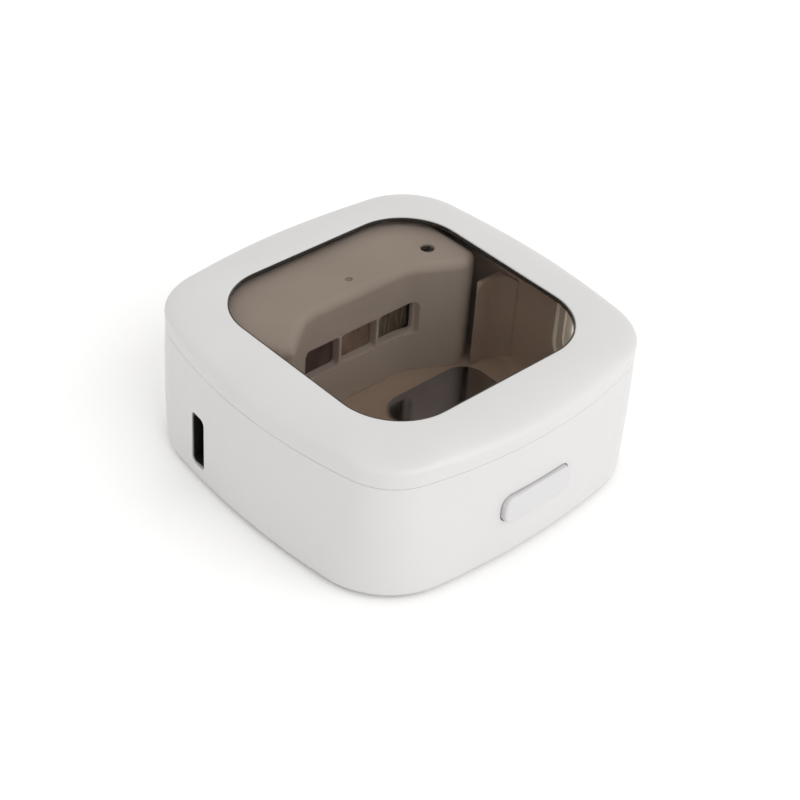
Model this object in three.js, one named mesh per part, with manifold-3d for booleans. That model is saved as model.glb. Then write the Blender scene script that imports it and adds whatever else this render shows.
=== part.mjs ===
// A small desktop sterilizer for the head of one toothbrush, as a scene of separate pieces.
// Millimetres, +Z up. The button faces -Y, the charging socket -X, the neck slot +X
// and the hinge +Y. The origin is on the floor, under the middle of the whole object.
import * as THREE from 'three';
import { mergeVertices } from 'three/addons/utils/BufferGeometryUtils.js';
import Module from 'manifold-3d';

const wasm = await Module();
wasm.setup();

// Case: a rounded square whose sides bulge a little
const caseWidth = 60;
const caseHeight = 25.3;
const seamCorner = 9.7;
const seamBulge = 80;
const footInset = 0.1;
const footCorner = 13.5;
const footBulge = 125;
const lidDepth = 4.2;
const shellWall = 1.8;
const bottomRound = 1.2;
const ledgeWidth = 0.55;
const ledgeHeight = 0.9;

// Clearances
const seatGap = 0.1;
const fitGap = 0.3;
const lidGap = 0.3;
const overrun = 2;

// Feet, cover and its screws
const footHeight = 0.5;
const footRadius = 3.2;
const footInsetX = 10;
const footInsetY = 18;
const footPocketDepth = 0.5;
const coverThickness = 1.5;
const coverScrewRadius = 0.8;
const coverScrewHeadRadius = 1.5;
const coverScrewHeadHeight = 0.7;
const coverScrewLength = 5.5;
const slotWidth = 0.5;
const slotDepth = 0.35;
const frontPostInset = 15;
const rearPostInset = 4.5;
const rearPostForward = 4.6;
const rearPostHeight = 5.5;
const postRadius = 1.7;

// Chamber tub
const tubWall = 1.4;
const tubWallGap = 0.8;
const frontRoom = 7.4;
const tubFloorThickness = 1.4;
const flangeThickness = 1.8;
const flangeDrop = 0.6;

// Neck slot in the right-hand wall and its soft seal
const neckBack = 9.9;
const neckSlotWidth = 9.4;
const neckSlotBottom = 9;
const sealWall = 1.5;
const sealLip = 0.5;

// Lamp block
const blockWall = 1.5;
const blockSideReach = 4.04;
const blockRearReach = 5.24;
const blockDepth = 13.8;
const blockRearRound = 3;
const lampWallInset = 12;
const leftTipInset = 5;
const leftTipReach = 5.2;
const leftHeelInset = 3;
const leftHeelReach = 4;
const leftShoulderReach = 0.4;
const rightTipInset = 3.4;
const rightTipReach = 4.6;
const rightHeelInset = 1.7;
const rightHeelReach = 3.7;
const rightShoulderReach = 2.8;
const windowPitchShare = 0.765;
const windowWidthShare = 0.71;
const windowShift = 0.5;
const windowHeight = 5.4;
const windowDrop = 9.8;
const windowRound = 0.6;
const lensThickness = 0.5;
const lensOverlap = 0.2;
const lampCount = 3;

// Screw and light pipe in the deck
const deckScrewInset = 5.7;
const deckScrewForward = 11.4;
const deckHoleRadius = 1.15;
const deckBossRadius = 2.3;
const deckBossDrop = 0.5;
const deckScrewHeadRadius = 1;
const deckScrewHeadHeight = 0.8;
const deckScrewRadius = 0.6;
const deckScrewLength = 5;
const pipeX = 0.8;
const pipeForward = 0.45;
const pipeRadius = 0.5;

// Side panels beside the wings, and the bright plate on the floor
const panelReach = 5.9;
const panelThickness = 1;
const panelInset = 2.2;
const panelDrop = 0.4;
const panelSweep = 3;
const panelSweepEnd = 0.5;
const plateThickness = 0.4;
const plateLeft = 0.5;
const plateRightInset = 2.2;
const plateFrontGap = 2.7;
const plateRearGap = 4.9;
const plateRound = 4;

// Main board and what is on it
const boardThickness = 1.2;
const lampRoom = 3.8;
const boardScrewRoom = 3.3;
const boardLift = 0.3;
const boardHeadroom = 4.2;
const boardTab = 2.6;
const lampSize = 3.5;
const lampHeight = 1;
const lampDomeRadius = 1.2;
const chipThickness = 0.9;
const chargeChipSize = 3;
const controllerChipSize = 5;
const chargeChipInset = 5;
const chargeChipRise = 3.5;
const controllerChipInset = 10.5;
const controllerChipDrop = 4.5;
const inductorInset = 5.5;
const inductorDrop = 3;
const inductorSize = 3.6;
const inductorHeight = 2;
const hallInset = 3.5;
const hallDrop = 1;
const hallWidth = 3;
const hallHeight = 1.6;

// Charging socket
const socketMiddle = 7.95;
const socketOpenLong = 9.5;
const socketOpenShort = 3.3;
const socketOpenRound = 0.9;
const socketStand = 0.55;
const socketLong = 8.8;
const socketShort = 2.6;
const socketSkin = 0.3;
const socketDepth = 7.2;
const socketRecess = 0.6;
const tongueLong = 6.6;
const tongueShort = 0.7;
const tongueBack = 1.2;

// Battery
const batteryLeftRoom = 9;
const batteryRightRoom = 10;
const batteryThickness = 5.4;
const batteryHeadroom = 3.8;
const batteryRound = 2;
const tapeThickness = 0.5;
const connectorWidth = 4.4;
const connectorHeight = 3;
const connectorThickness = 2.4;
const connectorInset = 8;
const connectorRise = 3.5;
const leadRadius = 0.4;
const leadPitch = 1.2;
const leadOffset = 0.5;
const leadRise = 1.8;
const leadShift = 2.6;
const leadLanding = 1;

// Push button and its switch
const buttonWidth = 13.4;
const buttonHeight = 4.6;
const buttonRound = 1.6;
const buttonProud = 0.7;
const buttonMiddle = 10.25;
const buttonGap = 0.3;
const buttonFlange = 1.2;
const buttonFlangeThickness = 0.8;
const buttonTravel = 0.5;
const switchWidth = 5.2;
const switchThickness = 1.6;
const plungerRadius = 0.9;
const plungerLength = 1.7;
const switchBoardThickness = 1;
const switchBoardRoom = 2.3;
const switchBoardHeight = 9;
const ribbonX = 5;
const ribbonWidth = 2.6;
const ribbonThickness = 0.3;
const ribbonChannelDepth = 0.9;

// Lid and its window
const lidRoundWidth = 8.5;
const lidRoundDrop = 2.7;
const lidRimWall = 3.2;
const lidCeiling = 1.3;
const bandMargin = 3;
const frameBorder = 8.85;
const paneRound = 10;
const paneGap = 0.1;
const paneFlange = 1.3;
const paneFlangeThickness = 0.5;
const glueThickness = 0.1;
const magnetRadius = 1.5;
const magnetThickness = 1;
const magnetSpacing = 22;
const magnetEdge = 1.7;

// Hinge
const barrelRadius = 1.5;
const pinRadius = 0.6;
const pinHoleRadius = 0.85;
const hingeInset = 0.4;
const lidKnuckleWidth = 10;
const baseKnuckleWidth = 4;
const hingeBossDepth = 2.2;
const hingeBossHeight = 5;
const armThickness = 1.8;

// How finely round shapes are drawn
const sideSteps = 6;
const cornerSteps = 6;
const roundSteps = 16;
const filletSteps = 4;
const leadSides = 6;
const leadSteps = 24;

// Places that follow from the sizes above
const halfCase = caseWidth / 2;
const seamHeight = caseHeight - lidDepth - lidGap;
const deckTop = caseHeight - lidCeiling - fitGap;
const deckUnder = deckTop - blockWall;
const lidBottom = seamHeight + lidGap;
const flangeTop = seamHeight - flangeDrop;
const flangeBottom = flangeTop - flangeThickness;
const coverTop = footHeight + coverThickness;
const tubBottom = coverTop + fitGap;
const tubFloor = tubBottom + tubFloorThickness;
const tubOutset = shellWall + tubWallGap;
const tubInset = tubOutset + tubWall;
const tubFront = halfCase - frontRoom;
const tubRear = halfCase - shellWall - hingeBossDepth - tubWallGap;
const frontPostX = halfCase - frontPostInset;
const frontPostY = tubFront + postRadius - seatGap;
const neckOffset = tubFront - neckBack;
const seamCornerMiddle = cornerMiddle(halfCase, seamCorner, seamBulge);
const blockHalfWidth = seamCornerMiddle + blockSideReach;
const blockRear = seamCornerMiddle + blockRearReach;
const rearPostX = blockHalfWidth - rearPostInset;
const rearPostY = blockRear - rearPostForward;
const lampWallFace = blockRear - blockDepth;
const lampWallHalf = blockHalfWidth - lampWallInset;
const windowPitch = lampWallHalf * windowPitchShare;
const windowWidth = lampWallHalf * windowWidthShare;
const windowMiddle = deckTop - windowDrop;
const deckScrewX = blockHalfWidth - deckScrewInset;
const deckScrewY = blockRear - deckScrewForward;
const panelFace = lampWallFace - panelReach;
const panelStart = blockHalfWidth - panelInset;
const panelTop = flangeTop - panelDrop;
const plateRight = blockHalfWidth - plateRightInset;
const plateFront = tubFront - tubWall - plateFrontGap;
const plateRear = lampWallFace - plateRearGap;
const boardFace = lampWallFace + lampRoom;
const boardBack = boardFace + boardThickness;
const boardRight = deckScrewX - boardScrewRoom;
const boardBottom = tubFloor + boardLift;
const boardTop = deckUnder - boardHeadroom;
const pipeY = boardFace - pipeForward;
const socketY = boardFace - socketShort / 2 - socketStand;
const batteryLeft = batteryLeftRoom - blockHalfWidth;
const batteryRight = blockHalfWidth - batteryRightRoom;
const batteryFront = boardBack + chipThickness + fitGap + seatGap;
const batteryBottom = tubFloor + tapeThickness + 2 * seatGap;
const batteryHeight = deckUnder - batteryHeadroom - batteryBottom;
const paneWidth = caseWidth - 2 * frameBorder;
const magnetDepth = halfCase - shellWall - magnetEdge - magnetRadius;
const lidFrontBand = magnetDepth - magnetRadius - bandMargin;
const hingeY = halfCase - hingeInset;
const hingeZ = seamHeight - barrelRadius;
const buttonReach = halfCase + buttonProud;
const hingeReach = hingeY + barrelRadius;

// Materials
function surface(color, roughness, metalness, opacity = 1) {
  return new THREE.MeshStandardMaterial({
    color, roughness, metalness, opacity, transparent: opacity < 1,
  });
}
const whitePlastic = surface(0xe8e7e6, 0.35, 0);
const buttonPlastic = surface(0xecebf0, 0.35, 0);
const innerPlastic = surface(0xded6cc, 0.5, 0);
const smokedPane = surface(0x5a5048, 0.08, 0, 0.45);
const quartz = surface(0xdfe6ea, 0.05, 0, 0.35);
const steel = surface(0x9a9a9c, 0.3, 1);
const brightMetal = surface(0xb4b4b6, 0.2, 1);
const darkRubber = surface(0x2c2c2e, 0.8, 0);
const paleRubber = surface(0xd4d2ce, 0.75, 0);
const boardGreen = surface(0x22573a, 0.5, 0);
const chipBlack = surface(0x1c1c1e, 0.5, 0);
const ceramic = surface(0xe6dfc8, 0.4, 0);
const cellWrap = surface(0xa9adb2, 0.3, 0.6);
const foamTape = surface(0x3a3a3c, 0.95, 0);
const leadRed = surface(0x9c1c1c, 0.5, 0);
const leadBlack = surface(0x181818, 0.5, 0);

// Booleans
function toSolid(geometry) {
  const bare = geometry.clone();
  bare.deleteAttribute('normal');
  bare.deleteAttribute('uv');
  const merged = mergeVertices(bare);
  return new wasm.Manifold(new wasm.Mesh({
    numProp: 3,
    vertProperties: new Float32Array(merged.attributes.position.array),
    triVerts: new Uint32Array(merged.index.array),
  }));
}
function fromSolid(solid) {
  const mesh = solid.getMesh();
  const geometry = new THREE.BufferGeometry();
  geometry.setAttribute('position', new THREE.BufferAttribute(mesh.vertProperties, 3));
  geometry.setIndex(new THREE.BufferAttribute(mesh.triVerts, 1));
  return geometry;
}
function cut(geometry, ...tools) {
  return fromSolid(tools.reduce((solid, tool) => solid.subtract(toSolid(tool)), toSolid(geometry)));
}
function join(geometry, ...others) {
  return fromSolid(others.reduce((solid, other) => solid.add(toSolid(other)), toSolid(geometry)));
}
function common(geometry, other) {
  return fromSolid(toSolid(geometry).intersect(toSolid(other)));
}

// Simple shapes
function block(x0, x1, y0, y1, z0, z1) {
  const box = new THREE.BoxGeometry(x1 - x0, y1 - y0, z1 - z0);
  return box.translate((x0 + x1) / 2, (y0 + y1) / 2, (z0 + z1) / 2);
}
function rodUp(radius, x, y, z0, z1) {
  const rod = new THREE.CylinderGeometry(radius, radius, z1 - z0, roundSteps);
  return rod.rotateX(Math.PI / 2).translate(x, y, (z0 + z1) / 2);
}
function rodBack(radius, x, z, y0, y1) {
  return new THREE.CylinderGeometry(radius, radius, y1 - y0, roundSteps).translate(x, (y0 + y1) / 2, z);
}
function rodAcross(radius, y, z, x0, x1) {
  const rod = new THREE.CylinderGeometry(radius, radius, x1 - x0, roundSteps);
  return rod.rotateZ(Math.PI / 2).translate((x0 + x1) / 2, y, z);
}
function roundedShape(width, height, radius) {
  const shape = new THREE.Shape();
  const x = width / 2;
  const y = height / 2;
  const r = Math.min(radius, x, y);
  shape.moveTo(r - x, -y);
  shape.absarc(x - r, r - y, r, -Math.PI / 2, 0);
  shape.absarc(x - r, y - r, r, 0, Math.PI / 2);
  shape.absarc(r - x, y - r, r, Math.PI / 2, Math.PI);
  shape.absarc(r - x, r - y, r, Math.PI, Math.PI * 3 / 2);
  return shape;
}
function slab(shape, thickness) {
  return new THREE.ExtrudeGeometry(shape, {
    depth: thickness, bevelEnabled: false, curveSegments: filletSteps,
  });
}
// A rounded slab that stands on edge and faces front, from y0 back to y1
function frontSlab(width, height, radius, x, z, y0, y1) {
  return slab(roundedShape(width, height, radius), y1 - y0).rotateX(Math.PI / 2).translate(x, y1, z);
}
// A rounded slab that stands on edge and faces the side, from x0 to x1
function sideSlab(depth, height, radius, y, z, x0, x1) {
  const solid = slab(roundedShape(depth, height, radius), x1 - x0);
  return solid.rotateX(Math.PI / 2).rotateZ(Math.PI / 2).translate(x0, y, z);
}

// Where the corner arc of a rounded square with bulging sides has its middle, along X and Y alike
function cornerMiddle(half, corner, bulge) {
  const reach = bulge - half;
  return (Math.sqrt(2 * (bulge - corner) ** 2 - reach ** 2) - reach) / 2;
}
// That rounded square, counter-clockwise from the middle of the right side
function planOutline({ half, corner, bulge }) {
  const reach = bulge - half;
  const middle = cornerMiddle(half, corner, bulge);
  const turn = Math.atan2(middle, middle + reach);
  const quarter = [];
  for (let i = 0; i < sideSteps; i += 1) {
    const angle = turn * (2 * i / sideSteps - 1);
    quarter.push(new THREE.Vector2(bulge * Math.cos(angle) - reach, bulge * Math.sin(angle)));
  }
  for (let i = 0; i < cornerSteps; i += 1) {
    const angle = turn + (Math.PI / 2 - 2 * turn) * i / cornerSteps;
    quarter.push(new THREE.Vector2(
      middle + corner * Math.cos(angle),
      middle + corner * Math.sin(angle),
    ));
  }
  const origin = new THREE.Vector2();
  const quarters = [0, 1, 2, 3].map((side) => side * Math.PI / 2);
  return quarters.flatMap((turned) => quarter.map((point) => point.clone().rotateAround(origin, turned)));
}
// The case's outline at a height, drawn in by an inset
function caseOutline(height, inset) {
  const share = THREE.MathUtils.clamp((height - footHeight) / (seamHeight - footHeight), 0, 1);
  return planOutline({
    half: THREE.MathUtils.lerp(halfCase - footInset, halfCase, share) - inset,
    corner: THREE.MathUtils.lerp(footCorner, seamCorner, share) - inset,
    bulge: THREE.MathUtils.lerp(footBulge, seamBulge, share) - inset,
  });
}
// A closed solid through rings of equal count, each [height, inset]
function caseSolid(levels) {
  const rings = levels.map(([height, inset]) => caseOutline(height, inset));
  const count = rings[0].length;
  const position = [];
  rings.forEach((ring, level) => ring.forEach((p) => position.push(p.x, p.y, levels[level][0])));
  const low = position.length / 3;
  position.push(0, 0, levels[0][0]);
  position.push(0, 0, levels.at(-1)[0]);
  const index = [];
  for (let i = 0; i < count; i += 1) {
    const next = (i + 1) % count;
    index.push(low, next, i);
    for (let level = 0; level + 1 < rings.length; level += 1) {
      const a = level * count;
      const b = a + count;
      index.push(a + i, a + next, b + next);
      index.push(a + i, b + next, b + i);
    }
    const top = (rings.length - 1) * count;
    index.push(top + i, top + next, low + 1);
  }
  const geometry = new THREE.BufferGeometry();
  geometry.setAttribute('position', new THREE.Float32BufferAttribute(position, 3));
  geometry.setIndex(index);
  return geometry;
}

// Cuts that two or more pieces share
function neckSlot(width, bottom) {
  const round = width / 2;
  const top = caseHeight + overrun;
  const shape = roundedShape(width, (top - bottom) + round, round);
  const solid = slab(shape, halfCase).rotateX(Math.PI / 2).rotateZ(Math.PI / 2);
  return solid.translate(halfCase / 2, -neckOffset, bottom + ((top - bottom) + round) / 2);
}
function socketSlot(x1) {
  return sideSlab(
    socketOpenShort, socketOpenLong, socketOpenRound, socketY, socketMiddle, -halfCase - overrun, x1,
  );
}

// Base
function baseHousing() {
  const levels = [[footHeight, bottomRound * (1 - Math.SQRT1_2)]];
  levels.push([footHeight + bottomRound * (1 - Math.SQRT1_2) / 2, bottomRound / 8]);
  levels.push([footHeight + bottomRound, 0]);
  levels.push([(footHeight + seamHeight) / 2, 0]);
  levels.push([seamHeight, 0]);
  const lipBottom = coverTop + seatGap;
  const ledgeTop = flangeBottom - seatGap;
  const narrow = shellWall + ledgeWidth;
  const inside = caseSolid([
    [footHeight - overrun, shellWall],
    [lipBottom, shellWall],
    [lipBottom, narrow],
    [lipBottom + ledgeHeight, narrow],
    [lipBottom + ledgeHeight, shellWall],
    [ledgeTop - ledgeHeight, shellWall],
    [ledgeTop - ledgeHeight, narrow],
    [ledgeTop, narrow],
    [ledgeTop, shellWall],
    [seamHeight + overrun, shellWall],
  ]);
  const shell = cut(caseSolid(levels), inside);
  return hingeSeat(cut(
    shell,
    neckSlot(neckSlotWidth, neckSlotBottom),
    socketSlot(-halfCase / 2),
    frontSlab(
      buttonWidth + 2 * buttonGap, buttonHeight + 2 * buttonGap, buttonRound + buttonGap,
      0, buttonMiddle, -halfCase - overrun, -halfCase / 2,
    ),
  ));
}
function hingeSeat(shell) {
  const slotHalf = lidKnuckleWidth / 2 + fitGap;
  const outer = slotHalf + baseKnuckleWidth;
  const boss = block(
    -outer, outer, halfCase - shellWall - hingeBossDepth, hingeY, seamHeight - hingeBossHeight, seamHeight,
  );
  const barrel = rodAcross(barrelRadius, hingeY, hingeZ, -outer, outer);
  const clear = barrelRadius + fitGap;
  const notch = block(
    -slotHalf, slotHalf, hingeY - clear, halfCase + overrun, hingeZ - clear, seamHeight + overrun,
  );
  const hole = rodAcross(pinHoleRadius, hingeY, hingeZ, -outer - seatGap, outer + seatGap);
  return cut(join(shell, boss, barrel), notch, hole);
}
function hingePin() {
  const reach = lidKnuckleWidth / 2 + fitGap + baseKnuckleWidth - seatGap;
  return rodAcross(pinRadius, hingeY, hingeZ, -reach, reach);
}

// Cover, feet and screws
function eachPost(visit) {
  const posts = [];
  [-1, 1].forEach((side) => posts.push([side * frontPostX, -frontPostY]));
  [-1, 1].forEach((side) => posts.push([side * rearPostX, rearPostY]));
  return posts.map(visit);
}
function eachFoot(visit) {
  const places = [];
  [-1, 1].forEach((x) => [-1, 1].forEach((y) => places.push([
    x * (halfCase - footInsetX), y * (halfCase - footInsetY),
  ])));
  return places.map(visit);
}
function bottomCover() {
  const plate = caseSolid([
    [footHeight, shellWall + fitGap],
    [coverTop, shellWall + fitGap],
  ]);
  const holes = eachPost(([x, y]) => rodUp(
    coverScrewRadius + fitGap, x, y, footHeight - overrun, coverTop + overrun,
  ));
  const sinks = eachPost(([x, y]) => rodUp(
    coverScrewHeadRadius + fitGap, x, y, footHeight - overrun, footHeight + coverScrewHeadHeight + seatGap,
  ));
  const pockets = eachFoot(([x, y]) => rodUp(
    footRadius + fitGap, x, y, footHeight - overrun, footHeight + footPocketDepth,
  ));
  return cut(plate, ...holes, ...sinks, ...pockets, ribbonRoom(coverTop - ribbonChannelDepth));
}
// Room for the ribbon from under the switch board back to under the main board
function ribbonRoom(bottom) {
  const half = ribbonWidth / 2 + fitGap;
  return block(
    ribbonX - half, ribbonX + half, ribbonFront() - fitGap, boardBack, bottom, tubBottom,
  );
}
function ribbonFront() {
  return switchFront() + switchThickness + seatGap + switchBoardThickness / 2 - ribbonThickness / 2;
}
function rubberFoot([x, y]) {
  return rodUp(footRadius, x, y, 0, footHeight + footPocketDepth - seatGap);
}
function coverScrew([x, y]) {
  const headTop = footHeight + coverScrewHeadHeight;
  const head = rodUp(coverScrewHeadRadius, x, y, footHeight, headTop);
  const shank = rodUp(coverScrewRadius, x, y, headTop - slotDepth, footHeight + coverScrewLength);
  return cut(join(head, shank), block(
    x - coverScrewHeadRadius, x + coverScrewHeadRadius, y - slotWidth / 2, y + slotWidth / 2,
    footHeight - overrun, footHeight + slotDepth,
  ));
}

// Chamber tub: floor, walls, the flange that hangs in the case, and the screw posts
function chamberTub() {
  const keep = block(-halfCase, halfCase, -tubFront, tubRear, tubBottom, flangeTop);
  const outer = common(caseSolid([[tubBottom, tubOutset], [flangeTop, tubOutset]]), keep);
  const flange = common(
    caseSolid([[flangeBottom, shellWall + fitGap], [flangeTop, shellWall + fitGap]]),
    block(-halfCase, halfCase, -halfCase, tubRear, flangeBottom, flangeTop),
  );
  const hollow = common(
    caseSolid([[tubFloor, tubInset], [flangeTop + overrun, tubInset]]),
    block(-halfCase, halfCase, tubWall - tubFront, tubRear - tubWall, tubFloor, flangeTop + overrun),
  );
  const posts = eachPost(([x, y]) => rodUp(
    postRadius, x, y, tubBottom, y < 0 ? flangeBottom + flangeThickness / 2 : tubFloor + rearPostHeight,
  ));
  const tall = rodUp(postRadius, deckScrewX, deckScrewY, tubBottom, deckBossBottom() - fitGap);
  const front = join(outer, flange, ...posts.slice(0, 2));
  const holes = eachPost(([x, y]) => rodUp(
    coverScrewRadius + fitGap, x, y, tubBottom - overrun, footHeight + coverScrewLength + fitGap,
  ));
  const magnetPockets = [-1, 1].map((side) => rodUp(
    magnetRadius + fitGap, side * magnetSpacing / 2, -magnetDepth,
    flangeTop - magnetThickness - seatGap, flangeTop + overrun,
  ));
  const body = join(cut(front, hollow), ...posts.slice(2), tall);
  return cut(
    body,
    ...holes,
    ...magnetPockets,
    rodUp(deckScrewRadius + fitGap, deckScrewX, deckScrewY, deckScrewTip() - fitGap, deckTop),
    neckSlot(neckSlotWidth, neckSlotBottom),
    socketRoom(),
    block(
      ribbonX - ribbonWidth / 2 - fitGap, ribbonX + ribbonWidth / 2 + fitGap,
      boardFace - fitGap, boardBack + fitGap, tubBottom - overrun, tubFloor + overrun,
    ),
  );
}
function socketRoom() {
  return block(
    -halfCase - overrun, fitGap - blockHalfWidth + blockWall,
    socketY - socketOpenShort / 2 - seatGap, boardBack + fitGap,
    tubBottom - overrun, socketMiddle + socketOpenLong / 2 + fitGap,
  );
}
function deckBossBottom() {
  return deckUnder - deckBossDrop;
}
function deckScrewTip() {
  return deckBossBottom() + blockWall / 2 + deckScrewHeadHeight - deckScrewLength;
}

// Lamp block: the pale deck with its lamp wall and splayed wings, a hood over the electronics
function blockShape(inset) {
  const shape = new THREE.Shape();
  const side = blockHalfWidth - inset;
  const rear = blockRear - inset;
  const round = blockRearRound - inset;
  const face = lampWallFace + inset;
  shape.moveTo(-lampWallHalf, face);
  shape.lineTo(lampWallHalf, face);
  shape.lineTo(blockHalfWidth - rightTipInset, face - rightTipReach);
  shape.lineTo(blockHalfWidth - rightHeelInset - inset / 2, face - rightHeelReach);
  shape.lineTo(side, face - rightShoulderReach - inset / 2);
  shape.absarc(side - round, rear - round, round, 0, Math.PI / 2);
  shape.absarc(round - side, rear - round, round, Math.PI / 2, Math.PI);
  shape.lineTo(-side, face - leftShoulderReach - inset / 2);
  shape.lineTo(leftHeelInset - blockHalfWidth + inset / 2, face - leftHeelReach);
  shape.lineTo(leftTipInset - blockHalfWidth, face - leftTipReach);
  return shape;
}
function lampPlaces() {
  return Array.from({ length: lampCount }, (_, i) => windowShift + (i - (lampCount - 1) / 2) * windowPitch);
}
function lampBlock() {
  const bottom = tubFloor + seatGap;
  const outer = slab(blockShape(0), deckTop - bottom).translate(0, 0, bottom);
  const inner = slab(blockShape(blockWall), deckTop - blockWall - bottom + overrun);
  const hood = cut(outer, inner.translate(0, 0, bottom - overrun));
  const boss = rodUp(deckBossRadius, deckScrewX, deckScrewY, deckBossBottom(), deckTop - blockWall / 2);
  const seat = deckBossBottom() + blockWall / 2;
  const wallBack = lampWallFace + blockWall;
  const openings = lampPlaces().map((x) => frontSlab(
    windowWidth, windowHeight, windowRound, x, windowMiddle, lampWallFace - overrun, wallBack + overrun,
  ));
  return cut(
    join(hood, boss),
    ...openings,
    rodUp(deckHoleRadius, deckScrewX, deckScrewY, seat, deckTop + overrun),
    rodUp(deckScrewRadius + fitGap, deckScrewX, deckScrewY, deckBossBottom() - overrun, seat + overrun),
    rodUp(pipeRadius + fitGap, pipeX, pipeY, deckTop - blockWall - overrun, deckTop + overrun),
    socketRoom(),
  );
}
function lens(x) {
  const face = lampWallFace + blockWall + seatGap;
  return frontSlab(
    windowWidth + 2 * lensOverlap, windowHeight + 2 * lensOverlap, windowRound,
    x, windowMiddle, face, face + lensThickness,
  );
}
function lamp(x) {
  const half = lampSize / 2;
  const face = boardFace - seatGap - lampHeight;
  const carrier = block(
    x - half, x + half, face, boardFace - seatGap, windowMiddle - half, windowMiddle + half,
  );
  const dome = rodBack(lampDomeRadius, x, windowMiddle, face - chipThickness / 2, face + lampHeight / 2);
  return join(carrier, dome);
}
function deckScrew() {
  const seat = deckBossBottom() + blockWall / 2 + seatGap;
  const top = seat + deckScrewHeadHeight;
  const head = rodUp(deckScrewHeadRadius, deckScrewX, deckScrewY, seat, top);
  const shank = rodUp(deckScrewRadius, deckScrewX, deckScrewY, deckScrewTip(), top - slotDepth);
  return cut(join(head, shank), block(
    deckScrewX - deckScrewHeadRadius, deckScrewX + deckScrewHeadRadius,
    deckScrewY - slotWidth / 2, deckScrewY + slotWidth / 2, top - slotDepth, top + overrun,
  ));
}
function lightPipe() {
  return rodUp(pipeRadius, pipeX, pipeY, boardTop + seatGap, deckTop - seatGap);
}
// An upright panel that sweeps into the wall of the chamber
function sidePanel(side) {
  const reach = halfCase - tubInset - panelSweepEnd;
  const shape = new THREE.Shape();
  shape.moveTo(panelStart, panelFace + panelThickness);
  shape.lineTo(panelStart, panelFace);
  shape.absarc(reach - panelSweep, panelFace - panelSweep, panelSweep, Math.PI / 2, 0, true);
  shape.lineTo(halfCase, panelFace - panelSweep);
  shape.lineTo(halfCase, panelFace + panelThickness);
  const bottom = tubFloor + seatGap;
  const upright = slab(shape, panelTop - bottom).translate(0, 0, bottom);
  const room = caseSolid([[tubFloor, tubInset + seatGap], [seamHeight, tubInset + seatGap]]);
  const panel = common(upright, room);
  return side > 0 ? panel : fromSolid(toSolid(panel).rotate([0, 0, 180]).mirror([0, 1, 0]));
}
function floorPlate() {
  const shape = roundedShape(plateRight - plateLeft, plateFront + plateRear, plateRound);
  return slab(shape, plateThickness).translate(
    (plateLeft + plateRight) / 2, (plateRear - plateFront) / 2, tubFloor + seatGap,
  );
}
function neckSeal() {
  const outer = neckSlot(neckSlotWidth - 2 * seatGap, neckSlotBottom + seatGap);
  const inner = neckSlot(neckSlotWidth - 2 * sealWall, neckSlotBottom + sealWall);
  const lip = neckSlot(neckSlotWidth - 2 * sealWall - 2 * sealLip, neckSlotBottom + sealWall + sealLip);
  const band = caseSolid([[neckSlotBottom, fitGap], [seamHeight - seatGap, fitGap]]);
  const core = caseSolid([[0, tubInset - seatGap], [caseHeight, tubInset - seatGap]]);
  const thinInset = shellWall + fitGap;
  const thin = caseSolid([[neckSlotBottom, thinInset], [seamHeight - seatGap, thinInset]]);
  const thinCore = caseSolid([[0, tubOutset - seatGap], [caseHeight, tubOutset - seatGap]]);
  const ring = cut(common(outer, band), inner, core);
  const flap = cut(common(outer, thin), lip, thinCore);
  return join(ring, flap);
}

// Electronics behind the lamp wall
function mainBoard() {
  const left = blockWall + fitGap - blockHalfWidth;
  const tabTop = socketMiddle + socketLong / 2;
  return join(
    block(left, boardRight, boardFace, boardBack, boardBottom, boardTop),
    block(left - boardTab, left + boardTab, boardFace, boardBack, boardBottom, tabTop),
  );
}
function socketShell() {
  const front = socketRecess - caseWallAtSocket();
  const outer = sideSlab(
    socketShort, socketLong, socketShort / 2, socketY, socketMiddle, front, front + socketDepth,
  );
  const inner = sideSlab(
    socketShort - 2 * socketSkin, socketLong - 2 * socketSkin, socketShort / 2 - socketSkin,
    socketY, socketMiddle, front - overrun, front + socketDepth - tongueBack,
  );
  return cut(outer, inner);
}
function socketTongue() {
  const back = socketRecess - caseWallAtSocket() + socketDepth - tongueBack - seatGap;
  const front = back - socketDepth + 2 * tongueBack;
  return sideSlab(tongueShort, tongueLong, tongueShort / 2, socketY, socketMiddle, front, back);
}
function caseWallAtSocket() {
  return halfCase - footInset - socketY ** 2 / (seamBulge + footBulge);
}
function chip(x, z, size) {
  return block(
    x - size / 2, x + size / 2, boardBack + seatGap, boardBack + seatGap + chipThickness,
    z - size / 2, z + size / 2,
  );
}
function inductor() {
  const face = boardFace - seatGap - inductorHeight;
  return frontSlab(
    inductorSize, inductorSize, inductorSize / 4,
    inductorInset - blockHalfWidth, boardTop - inductorDrop, face, boardFace - seatGap,
  );
}
function hallSensor() {
  const x = boardRight - hallInset;
  const z = boardTop - hallDrop;
  return block(
    x - hallWidth / 2, x + hallWidth / 2,
    boardBack + seatGap, boardBack + seatGap + chipThickness,
    z - hallHeight / 2, z + hallHeight / 2,
  );
}
function batteryCell() {
  return sideSlab(
    batteryThickness, batteryHeight, batteryRound, batteryFront + batteryThickness / 2,
    batteryBottom + batteryHeight / 2, batteryLeft, batteryRight,
  );
}
function batteryTape() {
  return block(
    batteryLeft, batteryRight,
    batteryFront + batteryRound, batteryFront + batteryThickness - batteryRound,
    tubFloor + seatGap, tubFloor + seatGap + tapeThickness,
  );
}
function batteryPlug() {
  const x = connectorInset - blockHalfWidth;
  const z = boardBottom + connectorRise;
  return block(
    x - connectorWidth / 2, x + connectorWidth / 2,
    boardFace - seatGap - connectorThickness, boardFace - seatGap,
    z - connectorHeight / 2, z + connectorHeight / 2,
  );
}

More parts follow.
